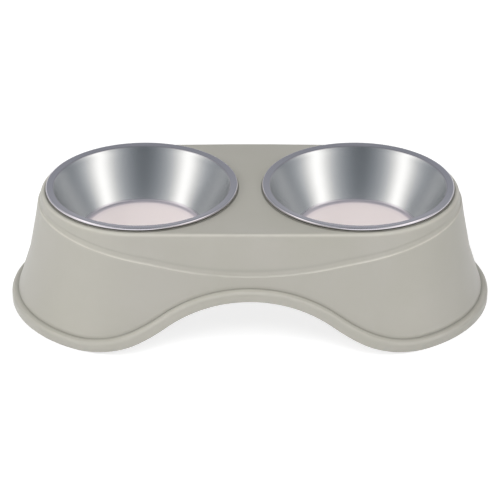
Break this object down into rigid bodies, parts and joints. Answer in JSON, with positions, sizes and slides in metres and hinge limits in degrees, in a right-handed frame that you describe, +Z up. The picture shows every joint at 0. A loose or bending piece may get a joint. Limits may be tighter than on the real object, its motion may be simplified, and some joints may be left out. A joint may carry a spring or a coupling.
{
  "type": "double pet bowl",
  "caption": "Raised pet feeding stand in matte plastic with flared walls and an arched front, holding lift-out round steel bowls side by side on rubber feet.",
  "frame": {"origin": "on the surface that the feet stand on, midway between the bowls and midway from front to back", "axes": "+X along the stand's length towards the right bowl, +Y towards the back, +Z up"},
  "size_m": [0.43, 0.237, 0.109],
  "materials": {
    "stand_plastic": "matte moulded, fine even grain, sage grey",
    "bowl_steel": "satin inside, polished rim",
    "foot_rubber": "matte dark grey"
  },
  "bodies": {
    "stand": {"stand": "stand_plastic", "foot_front_left": "foot_rubber", "foot_front_right": "foot_rubber", "foot_back_left": "foot_rubber", "foot_back_right": "foot_rubber"},
    "bowl_left": {"bowl_left": "bowl_steel"},
    "bowl_right": {"bowl_right": "bowl_steel"}
  },
  "joints": [
    {"name": "bowl_left_lift", "type": "slide", "parent": "stand", "child": "bowl_left", "axis": [0, 0, 1], "range_m": [0, 0.06]},
    {"name": "bowl_right_lift", "type": "slide", "parent": "stand", "child": "bowl_right", "axis": [0, 0, 1], "range_m": [0, 0.06]}
  ]
}
